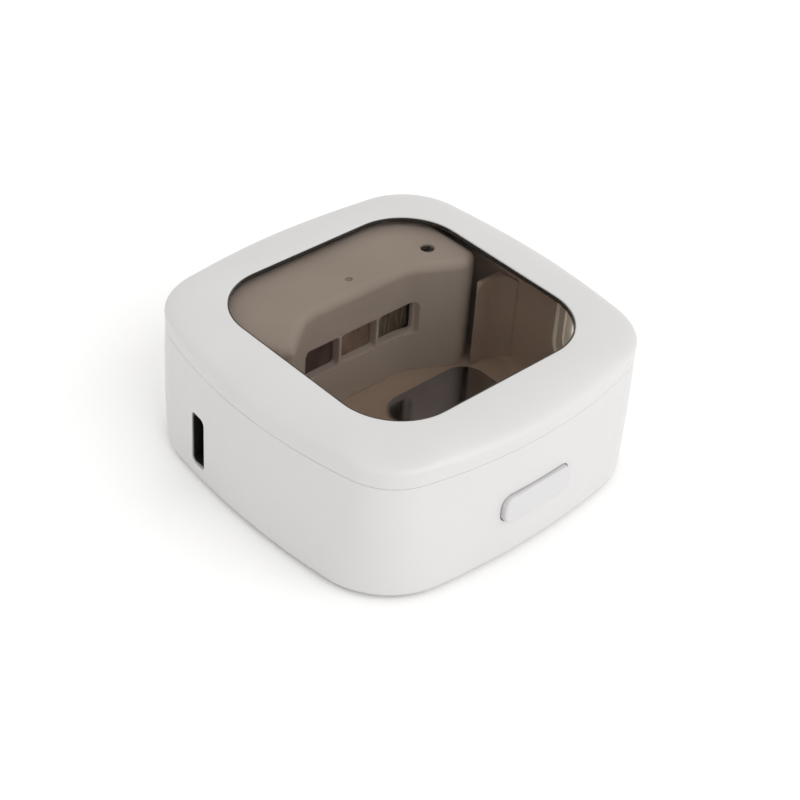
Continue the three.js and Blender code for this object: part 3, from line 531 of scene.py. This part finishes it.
wire_red = grained("lead_red", (0.33, 0.012, 0.012), 0.08, 1.5, 0.2, 0.004, (0.4, 0.55))
wire_black = grained("lead_black", (0.012, 0.012, 0.012), 0.1, 1.5, 0.2, 0.004, (0.4, 0.55))


def finish(piece, name, material, body, slot, *nodes):
    """Gives a piece its place, name and material, and ties it to its body and solid; the slot is not used"""
    piece.name = name
    piece.data.name = name
    piece.data.transform(Matrix.Diagonal((MM, MM, MM, 1)) @ Matrix.Translation((0, SHIFT_Y, 0)))
    piece.data.materials.clear()
    piece.data.materials.append(material)
    piece.data.polygons.foreach_set("material_index", [0] * len(piece.data.polygons))
    piece.data.shade_smooth()
    piece.data.set_sharp_from_angle(angle=radians(SHARP_ANGLE))
    weight = piece.modifiers.new("normals", "WEIGHTED_NORMAL")
    weight.mode = "FACE_AREA"
    weight.weight = 100
    weight.keep_sharp = True
    applied(piece)
    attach(piece, body)
    if nodes:
        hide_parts(*nodes)


# Base housing
def socket_hole(inset):
    return rounded(SOCKET_SHORT, SOCKET_LONG, SOCKET_ROUND, inset, SOCKET_Y, SOCKET_Z, steps=10)


def button_hole(inset):
    width, height, radius = [size + BUTTON_GAP for size in (BUTTON_W, BUTTON_H, BUTTON_R)]
    return rounded(width + BUTTON_GAP, height + BUTTON_GAP, radius, inset, 0, BUTTON_Z, steps=10)


def housing():
    foot_round, seam_round, seam_bevel, straight = 1.2, 0.12, 0.1, (5, 11.5, 17)
    ledge, ledges = WALL + 0.55, ((17.4, 18.3), (2.1, 3.0))
    boss_front, boss_rear, boss_low = 26.0, 29.3, 15.8
    cut_depth, socket_edge, button_edge, pin_room = 6, 0.12, 0.1, 11
    notch_front, notch_low = [middle - BARREL_R - 0.3 for middle in (HINGE_Y, HINGE_Z)]
    rings = first_rim(FOOT_Z, foot_round, steps=9)
    rings += [(z, 0) for z in straight]
    rings += last_rim(SEAM_Z, seam_round, steps=6)
    rings += [(SEAM_Z, WALL + seam_bevel), (SEAM_Z - seam_bevel, WALL)]
    for low, high in ledges:
        rings += [(high, WALL), (high, ledge), (low, ledge), (low, WALL)]
    rings.append((FOOT_Z, WALL))
    shell = loft([case_ring(z, inset) for z, inset in rings], looped=True)
    join(
        shell,
        block(-KNUCKLE_OUT, KNUCKLE_OUT, boss_front, boss_rear, boss_low, SEAM_Z, FINE_EDGE),
        rod(BARREL_R, "X", (HINGE_Y, HINGE_Z), -KNUCKLE_OUT, KNUCKLE_OUT, BARREL_EDGE),
    )
    cut(
        shell,
        mouth(neck_outline, right_wall, cut_depth),
        mouth(socket_hole, left_wall, cut_depth, socket_edge),
        mouth(button_hole, front_wall, cut_depth, button_edge),
        block(-KNUCKLE_IN, KNUCKLE_IN, notch_front, PAST_WALL, notch_low, PAST_TOP, BARREL_EDGE),
        rod(HOLE_R, "X", (HINGE_Y, HINGE_Z), -pin_room, pin_room),
    )
    finish(shell, "housing_fine", white, "root", "white_plastic", "base_housing")


def cover():
    plate_gap, plate_top, plate_edge = 0.3, 2.0, 0.2
    hole_r, sink_r, sink_top = 1.1, 1.8, 1.3
    foot_hole_r, foot_hole_top = 3.5, 1.0
    ribbon_left, ribbon_right, ribbon_front, ribbon_rear, ribbon_low = 3.4, 6.6, -25.8, 14.4, 1.1
    above = plate_top + PAST_FACE
    levels = soft_levels(FOOT_Z, plate_top, plate_edge, 0, steps=3)
    plate = loft([case_ring(z, WALL + plate_gap + inset) for z, inset in levels])
    for place in SCREW_PLACES:
        cut(plate, rod(hole_r, "Z", place, -PAST_FACE, above), rod(sink_r, "Z", place, -PAST_FACE, sink_top))
    for place in FOOT_PLACES:
        cut(plate, rod(foot_hole_r, "Z", place, -PAST_FACE, foot_hole_top))
    cut(plate, block(ribbon_left, ribbon_right, ribbon_front, ribbon_rear, ribbon_low, above))
    finish(plate, "cover_fine", white, "root", "white_plastic", "bottom_cover")


def feet():
    foot_r, foot_top, foot_edge = 3.2, 0.9, 0.25
    for i, place in enumerate(FOOT_PLACES):
        foot = rod(foot_r, "Z", place, 0, foot_top, foot_edge)
        finish(foot, f"foot_fine_{i + 1}", rubber, "root", "dark_rubber", f"rubber_foot_{i + 1}")


def cover_screws():
    """Screws with a cross slot, their heads down"""
    low, top, shank_r, shank_top = 0.55, 1.2, 0.8, 6.0
    half, reach, slot_top = 0.22, 1, 0.95
    profile = [(0, low), (1.1, low), (1.4, 0.65), (1.5, 0.8), (1.5, top), (shank_r, top)]
    profile += [(shank_r, shank_top), (0, shank_top)]
    for i, (x, y) in enumerate(SCREW_PLACES):
        screw = lathe(profile, "Z", (x, y))
        cut(
            screw,
            block(x - half, x + half, y - reach, y + reach, 0, slot_top),
            block(x - reach, x + reach, y - half, y + half, 0, slot_top),
        )
        finish(screw, f"cover_screw_fine_{i + 1}", steel, "root", "steel", f"cover_screw_{i + 1}")


# Chamber
def tub_outline(z, inset, front_y, rear_y, radius, wall_inset):
    """The case's own outline, drawn in and cut straight at the front and the rear"""
    samples = 9
    points = []
    for i in range(samples):
        y = mix(front_y, rear_y, i / (samples - 1))
        points.append((wall_at(y, z, wall_inset), y, radius if i in (0, samples - 1) else 0))
    mirrored = [(-x, y, r) for x, y, r in reversed(points)]
    return filleted(points + mirrored, inset)


def tub():
    low, low_edge, below_flange, outer_round, side_gap = 2.3, 0.3, 0.4, 3, 2.6
    thickness, inner_round, floor_round, straight = 1.4, 5.5, 1.2, (8, 12, 16, 19)
    flange_gap, lip, lip_spread, lip_lift, magnet_gap = 2.1, 0.35, 0.4, 0.1, 0.1
    outside = (TUB_FRONT, TUB_REAR, outer_round, side_gap)
    inside = (TUB_FRONT + thickness, TUB_REAR - thickness, inner_round, side_gap + thickness)
    levels = soft_levels(low, FLANGE_TOP - below_flange, low_edge, 0, steps=3)
    bowl = loft([up(tub_outline(z, inset, *outside), z) for z, inset in levels])
    levels = soft_levels(FLANGE_LOW, FLANGE_TOP, 0, FINE_EDGE, steps=3)
    flange = loft([case_ring(z, inset + flange_gap) for z, inset in levels])
    cut(flange, block(-PAST_ALL, PAST_ALL, TUB_REAR, PAST_ALL, 0, PAST_LID))
    join(bowl, flange)
    levels = first_rim(TUB_FLOOR, floor_round, steps=6) + [(z, 0) for z in straight]
    levels += [(z, -inset) for z, inset in last_rim(FLANGE_TOP, lip, steps=6)[:-1]]
    levels.append((FLANGE_TOP + lip_lift, levels[-1][1] - lip_spread))
    hollow = loft([up(tub_outline(min(z, SEAM_Z), inset, *inside), z) for z, inset in levels])
    cut(bowl, hollow, neck_bar(0), socket_room())
    for x in (-MAGNET_X, MAGNET_X):
        hole_low = FLANGE_TOP - MAGNET_HIGH - magnet_gap
        cut(bowl, rod(MAGNET_HOLE_R, "Z", (x, MAGNET_Y), hole_low, PAST_FLANGE))
    # The tub's darker brown colour is painted shade
    finish(bowl, "tub_fine", tub_painted_shade, "root", "inner_plastic", "chamber_tub")


def lamp_opening(x, grow, inset):
    return rounded(LAMP_W + grow, LAMP_H + grow, 0.6 + grow / 2, inset, x, LAMP_Z, steps=4)


def lamp_hood():
    """The pale cover over the lamps: a deck, a wall with three openings and two splayed wings"""
    bottom, crown, wall, roof = TUB_FLOOR + 0.1, 1.6, 1.5, 1.7
    boss_r, boss_low, boss_top = 2.3, 21.7, 23.0
    screw_hole, screw_sink, screw_edge, screw_r, screw_low = 2.3, 1.25, 0.2, 0.9, 18
    pip_hole, pip_depth, pip_edge = 1.16, 3, 0.06
    lamp_depth, lamp_edge, slack, slack_front, slack_rear = 4, 0.12, 0.2, 6, LAMP_FACE + 0.02
    levels = soft_levels(bottom, DECK_Z, 0, crown, steps=10)
    hood = loft([up(filleted(HOOD_POINTS, inset), z) for z, inset in levels])
    cut(hood, loft([up(filleted(HOOD_POINTS, wall), z) for z in (bottom - PAST_FACE, DECK_Z - roof)]))
    join(hood, rod(boss_r, "Z", DECK_SCREW, boss_low, boss_top))
    for x in LAMP_X:
        cut(
            hood,
            mouth(lambda i, x=x: lamp_opening(x, 0, i), lamp_wall, lamp_depth, lamp_edge),
            slab(lambda i, x=x: lamp_opening(x, slack, i), front, slack_front, slack_rear),
        )
    cut(
        hood,
        mouth(lambda i: round_hole(screw_hole, DECK_SCREW, i, steps=10), deck, screw_sink, screw_edge),
        rod(screw_r, "Z", DECK_SCREW, screw_low, boss_top),
        mouth(lambda i: round_hole(pip_hole, PIP, i, steps=8), deck, pip_depth, pip_edge),
        socket_room(),
    )
    finish(hood, "lamp_hood_fine", pale, "root", "inner_plastic", "lamp_block")


def light_pipe():
    low, radius = 18.1, 0.5
    profile = [(0, low), (radius, low), (radius, 23.58), (0.45, 23.65), (0.3, 23.67), (0, 23.68)]
    pipe = lathe(profile, "Z", PIP, steps=24)
    finish(pipe, "light_pipe_fine", milky, "root", "quartz", "light_pipe")


def side_panels():
    """Upright panels that sweep into the chamber's side walls"""
    near, face, back, sweep, taper = 19.8, 3.5, 4.5, 3.0, 0.9
    bottom, top, top_edge, corner = TUB_FLOOR + 0.1, 19.5, 0.3, 1.9
    side_inset, seat, sweep_steps = 4.1, 0.04, 16

    def plan(sign, z, inset):
        rear_x, front_x = [wall_at(y, z, side_inset) - inset for y in (back - inset, face - sweep + inset)]
        reach = front_x - seat
        ring = [(near + taper + inset, back - inset), (near + inset, face + inset)]
        for i in range(sweep_steps + 1):
            a = radians(90 - 90 * i / sweep_steps)
            ring.append((reach - sweep + (sweep + inset) * cos(a), face - sweep + (sweep + inset) * sin(a)))
        ring += [(front_x, ring[-1][1]), (rear_x, back - inset)]
        return [(sign * x, y, z) for x, y in ring]

    levels = soft_levels(bottom, top, 0, top_edge, steps=4)
    for sign, name in ((1, "right"), (-1, "left")):
        panel = loft([plan(sign, z, inset) for z, inset in levels])
        round_off = block(near - 1, near + corner, face - 1, back + 1, top - corner, top + 1)
        cut(round_off, rod(corner, "Y", (near + corner, top - corner), face - 2, back + 2))
        if sign < 0:
            round_off.data.transform(Matrix.Diagonal((-1, 1, 1, 1)))
            round_off.data.flip_normals()
        cut(panel, round_off)
        # The panels carry the tub's painted shade
        finish(panel, f"{name}_panel_fine", tub_painted_shade, "root", "inner_plastic", f"{name}_side_panel")


def reflector():
    width, length, corner, middle = 19.3, 23.0, 4.0, (10.15, -7.0)
    low, top, low_edge, top_edge = TUB_FLOOR + 0.1, TUB_FLOOR + 0.5, 0.05, 0.12

    def outline(inset):
        return rounded(width, length, corner, inset, *middle, steps=16)

    plate = slab(outline, up, low, top, low_edge, top_edge, steps=3)
    finish(plate, "reflector_fine", foil, "root", "bright_metal", "floor_reflector")


def lamps():
    size, corner, face, back, edge = 3.5, 0.2, 12.1, 13.1, 0.1
    dome_r, dome_rise, dome_y, dome_back = 1.2, 1.0, 12.6, 12.8

    def outline(x, inset):
        return rounded(size, size, corner, inset, x, LAMP_Z, steps=3)

    dome = [(dome_r * cos(radians(a)), dome_y - dome_rise * sin(radians(a))) for a in range(90, -1, -10)]
    dome += [(dome_r, dome_back), (0, dome_back)]
    for i, x in enumerate(LAMP_X):
        carrier = slab(lambda inset, x=x: outline(x, inset), front, face, back, edge, 0)
        join(carrier, lathe(dome, "Y", (x, LAMP_Z), steps=32))
        finish(carrier, f"lamp_fine_{i + 1}", ceramic, "root", "ceramic", f"uv_lamp_{i + 1}")


def magnets_and_pin():
    base_low, lid_low, pin_half = FLANGE_TOP - MAGNET_HIGH, LID_Z + 0.2, 9.2
    for i, x in enumerate((-MAGNET_X, MAGNET_X)):
        lower = rod(MAGNET_R, "Z", (x, MAGNET_Y), base_low, FLANGE_TOP, FINE_EDGE)
        finish(lower, f"base_magnet_fine_{i + 1}", steel, "root", "steel", f"base_magnet_{i + 1}")
        upper = rod(MAGNET_R, "Z", (x, MAGNET_Y), lid_low, lid_low + MAGNET_HIGH, FINE_EDGE)
        finish(upper, f"lid_magnet_fine_{i + 1}", steel, "lid", "steel", f"lid_magnet_{i + 1}")
    pin = rod(PIN_R, "X", (HINGE_Y, HINGE_Z), -pin_half, pin_half, FINE_EDGE, steps=24)
    finish(pin, "pin_fine", steel, "root", "steel", "hinge_pin")


def seal():
    """A channel that lines the neck slot, with a thin flap round its inner rim"""
    bottom, top, reach = 8, SEAM_Z - 0.1, (14, PAST_WALL)
    channel_out, channel_in, channel_front, channel_back = 0.1, 0.9, 0.3, 3.9
    flap_out, flap_in, flap_front, flap_back, flap_edge = 0.6, 1.4, 2.1, 2.5, 0.1

    def inside(wall_inset, edge, steps):
        levels = soft_levels(bottom, top, 0, edge, steps)
        return loft([case_ring(z, wall_inset + inset) for z, inset in levels])

    def core(wall_inset):
        return loft([case_ring(z, wall_inset) for z in (0, PAST_TOP)])

    channel = neck_bar(channel_out)
    common(channel, inside(channel_front, FINE_EDGE, steps=3))
    flap = neck_bar(flap_out)
    common(flap, inside(flap_front, flap_edge, steps=2))
    cut(flap, core(flap_back), neck_bar(flap_in, *reach))
    cut(channel, neck_bar(channel_in, *reach), core(channel_back))
    join(channel, flap)
    finish(channel, "neck_seal_fine", silicone, "root", "pale_rubber", "neck_seal")


# Socket
def socket():
    face, depth, hollow_depth, sheet = 0.3 - wall_at(SOCKET_Y, SOCKET_Z), 7.2, 6, 0.25
    short, long, corner = SOCKET_SHORT - 0.3, SOCKET_LONG - 0.3, SOCKET_ROUND - 0.1
    mouth_edge, back_edge = 0.12, 0.1
    tongue_short, tongue_long, tongue_round, tongue_edge = 0.7, 6.6, 0.3, 0.15
    tongue_start, tongue_end = face + 1.5, face + 6.1

    def outline(inset):
        return rounded(short, long, corner, inset, SOCKET_Y, SOCKET_Z, steps=10)

    def tongue_outline(inset):
        return rounded(tongue_short, tongue_long, tongue_round, inset, SOCKET_Y, SOCKET_Z, steps=4)

    shell = slab(outline, side, face, face + depth, mouth_edge, back_edge, steps=3)
    cut(shell, slab(lambda i: outline(i + sheet), side, face - PAST_FACE, face + hollow_depth))
    # The shell's near-black colour is painted shade inside the socket
    finish(shell, "socket_shell_fine", socket_steel_painted_shade, "root", "steel", "socket_shell")
    tongue = slab(tongue_outline, side, tongue_start, tongue_end, tongue_edge, 0)
    finish(tongue, "socket_tongue_fine", moulding, "root", "chip_black", "socket_tongue")


# Push button
def push_button():
    """A cap with a flat face and a round rim, on a flange that holds it behind the wall"""
    edge, flange, flange_face, flange_back, flange_bevel = 0.45, 1.2, -27.46, -26.66, 0.1

    def outline(inset):
        return rounded(BUTTON_W, BUTTON_H, BUTTON_R, inset, 0, BUTTON_Z, steps=12)

    levels = [(BUTTON_FACE, edge + 0.4), (BUTTON_FACE, edge + 0.2)]
    levels += first_rim(BUTTON_FACE, edge, steps=9)
    levels += [(flange_face, 0), (flange_face, flange_bevel - flange)]
    levels += [(flange_face + flange_bevel, -flange), (flange_back, -flange)]
    cap = loft([front(outline(inset), y) for y, inset in levels])
    finish(cap, "button_fine", button_white, "button", "button_plastic", "power_button")


# Lid
def pane_outline(grow, corner_grow, inset):
    """The window's outline, with its width and its corners changed by some millimetres"""
    return rounded(PANE_W + grow, PANE_W + grow, PANE_R + corner_grow, inset, steps=24)


def lid():
    """A cap with an upright skirt, a dome that flattens toward the window and the hinge's middle knuckle"""
    skirt_edge, dome_steps, corner_swell, wall, front_y = 0.08, 18, 1.0, 3.2, -20.5
    hollow_low, hollow_top, seat_top, sill_depth = 19.0, 24.0, 24.8, 1.4
    seat_grow, seat_corner, magnet_low, magnet_top = 2.8, 1.3, 20, 22.2
    arm_front, arm_rear, arm_top, pin_room = 28.2, 29.9, 22.0, 7
    rings = [case_ring(z, inset) for z, inset in soft_levels(LID_Z, SKIRT_Z, skirt_edge, 0, steps=3)]
    for i in range(1, dome_steps + 1):
        a = pi / 2 * i / dome_steps
        share = 1 - cos(a)
        half, corner, bulge = [mix(seam, top, share) for seam, top in zip(SEAM_SHAPE, TOP_SHAPE)]
        corner += corner_swell * sin(pi * sqrt(share))
        rings.append(square_ring(mix(SKIRT_Z, TOP_Z, sin(a)), half, corner, bulge))
    body = loft(rings)
    hollow = loft([case_ring(z, wall) for z in (hollow_low, hollow_top)])
    common(hollow, block(-PAST_ALL, PAST_ALL, front_y, PAST_ALL, hollow_low - PAST_FACE, PAST_TOP))
    cut(
        body,
        hollow,
        mouth(lambda i: pane_outline(0, 0, i), lid_top, sill_depth),
        slab(lambda i: pane_outline(seat_grow, seat_corner, i), up, hollow_low, seat_top),
    )
    for x in (-MAGNET_X, MAGNET_X):
        cut(body, rod(MAGNET_HOLE_R, "Z", (x, MAGNET_Y), magnet_low, magnet_top))
    join(
        body,
        block(-LID_KNUCKLE, LID_KNUCKLE, arm_front, arm_rear, HINGE_Z, arm_top, FINE_EDGE),
        rod(BARREL_R, "X", (HINGE_Y, HINGE_Z), -LID_KNUCKLE, LID_KNUCKLE, BARREL_EDGE),
    )
    cut(body, rod(HOLE_R, "X", (HINGE_Y, HINGE_Z), -pin_room, pin_room))
    finish(body, "lid_fine", white, "lid", "white_plastic", "lid_frame")


def window():
    """The smoked pane with its flange under the lid, and the dark gasket round it, which is also painted
    shade in the seam between the pane and the lid
    """
    gasket_and_shade_out, gasket_and_shade_in, gasket_and_shade_low, gasket_and_shade_top = -0.04, -0.42, 24.6, 25.15
    pane_grow, corner_grow, pane_edge = -0.46, -0.2, 0.12
    flange, flange_low, flange_top = 1.3, 24.0, 24.5
    # A black ring in the seam round the pane: a glue ring that also stands in for the seam's shade, as
    # painted shade
    gasket_and_shade = slab(lambda i: pane_outline(gasket_and_shade_out, 0, i), up, gasket_and_shade_low, gasket_and_shade_top)
    cut(gasket_and_shade, slab(lambda i: pane_outline(gasket_and_shade_in, corner_grow, i), up, flange_low, PAST_TOP))
    finish(gasket_and_shade, "pane_gasket_and_shade_fine", tape, "lid", "foam_tape")
    levels = [(flange_low, -flange), (flange_top, -flange), (flange_top, 0)]
    levels += last_rim(TOP_Z, pane_edge, steps=3)
    pane = loft([up(pane_outline(pane_grow, corner_grow, inset), z) for z, inset in levels])
    finish(pane, "window_fine", smoked, "lid", "smoked_window", "lid_window")


housing()
cover()
feet()
cover_screws()
tub()
lamp_hood()
light_pipe()
side_panels()
reflector()
lamps()
magnets_and_pin()
seal()
socket()
push_button()
lid()
window()

# Pieces that keep their solids' own shapes
OWN_SHAPES = {
    "quartz_lens_1": lens_painted_shade, "quartz_lens_2": lens_frosted, "quartz_lens_3": lens_painted_board,
    "deck_screw": moulding, "main_board": mask_green, "charge_chip": moulding, "controller_chip": moulding,
    "inductor": moulding, "lid_sensor": moulding, "battery_cell": pouch, "battery_tape": tape,
    "battery_plug": ceramic, "battery_lead_1": wire_black, "battery_lead_2": wire_red,
    "switch_board": mask_green, "switch_ribbon": tape, "switch_body": moulding, "switch_plunger": moulding,
    "window_glue": tape,
}
for name, material in OWN_SHAPES.items():
    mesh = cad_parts[name].data
    mesh.materials.clear()
    mesh.materials.append(material)

# Floor, in metres
FLOOR_HALF = 3.0
corners = [(x * FLOOR_HALF, y * FLOOR_HALF) for x, y in ((-1, -1), (1, -1), (1, 1), (-1, 1))]
floor_mesh = bpy.data.meshes.new("floor")
floor_mesh.from_pydata(up(corners, 0), [], [(0, 1, 2, 3)])
floor = bpy.data.objects.new("floor", floor_mesh)
bpy.context.scene.collection.objects.link(floor)
floor_mesh.materials.append(grained("floor_card", (0.96, 0.96, 0.96), 0.004, 60, 2, 0.01, (0.75, 0.85)))

# Light: an even studio and a wide, soft key light from the front and above
SKY_COLOUR, SKY_STRENGTH = (1.0, 0.995, 0.985, 1), 0.98
KEY_STRENGTH, KEY_SPREAD, KEY_FROM = 1.25, 70, (0.15, -0.9, 0.5)
world = bpy.data.worlds.new("studio")
world.use_nodes = True
world.node_tree.nodes["Background"].inputs["Color"].default_value = SKY_COLOUR
world.node_tree.nodes["Background"].inputs["Strength"].default_value = SKY_STRENGTH
bpy.context.scene.world = world
key_data = bpy.data.lights.new("key", "SUN")
key_data.energy = KEY_STRENGTH
key_data.angle = radians(KEY_SPREAD)
key = bpy.data.objects.new("key", key_data)
key.rotation_euler = (-Vector(KEY_FROM)).to_track_quat("-Z", "Y").to_euler()
bpy.context.scene.collection.objects.link(key)

# Camera, at the photograph's viewing angle
AZIMUTH, ELEVATION, ROLL = radians(-44.87), radians(38.40), radians(4.2)
DISTANCE, ASIDE, ABOVE = 278.5, 1.18, 6.62
LENS, SENSOR, CLIP_START = 80, 36, 0.01
back = Vector((sin(AZIMUTH) * cos(ELEVATION), -cos(AZIMUTH) * cos(ELEVATION), sin(ELEVATION)))
level = Vector((cos(AZIMUTH), sin(AZIMUTH), 0))
upright = level.cross(-back)
across = level * cos(ROLL) + upright * sin(ROLL)
upward = upright * cos(ROLL) - level * sin(ROLL)
place = (back * DISTANCE + across * ASIDE + upward * ABOVE + Vector((0, SHIFT_Y, 0))) * MM
camera_data = bpy.data.cameras.new("camera")
camera_data.lens = LENS
camera_data.sensor_width = SENSOR
camera_data.clip_start = CLIP_START
camera = bpy.data.objects.new("camera", camera_data)
turn = Matrix((across, upward, back)).transposed().to_4x4()
camera.matrix_world = Matrix.Translation(place) @ turn
bpy.context.scene.collection.objects.link(camera)
bpy.context.scene.camera = camera
bpy.context.scene.view_settings.view_transform = "Standard"
